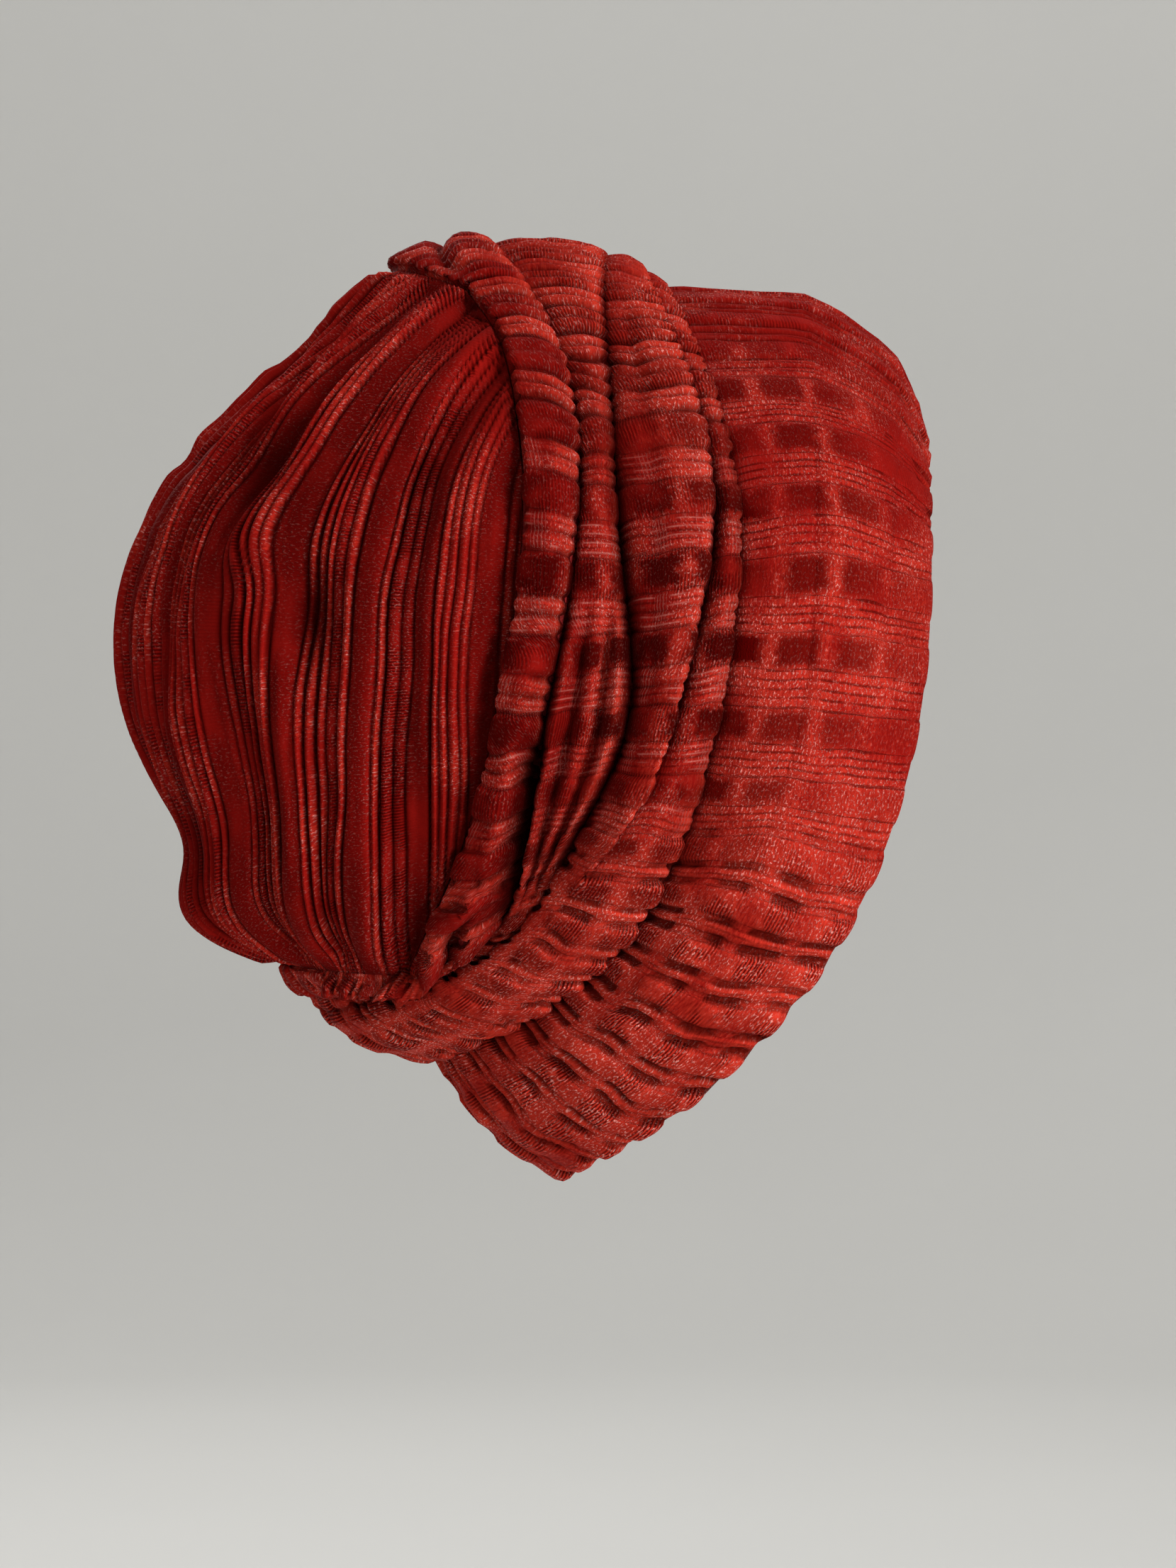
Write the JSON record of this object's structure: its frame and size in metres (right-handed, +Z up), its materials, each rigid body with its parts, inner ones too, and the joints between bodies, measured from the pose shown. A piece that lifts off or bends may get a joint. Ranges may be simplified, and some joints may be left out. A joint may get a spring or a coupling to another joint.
{
  "type": "slouchy turban beanie",
  "caption": "Slouchy turban-style beanie of ribbed crushed velvet, with a wide band round the face, draped tucks over the head and a gathered crown pouch behind.",
  "frame": {"origin": "where the top of a head bears on the inside of the front panel, on the plane of symmetry", "axes": "+X towards the wearer's face, +Y to the wearer's left, +Z up as the hat is worn"},
  "size_m": [0.2387, 0.1788, 0.2805],
  "materials": {
    "drape_velvet": "red crushed velvet with a checked burn-out rib",
    "crown_velvet": "red crushed velvet with ribs running down"
  },
  "bodies": {
    "root": {"front_drape": "drape_velvet", "crown": "crown_velvet"}
  },
  "joints": []
}
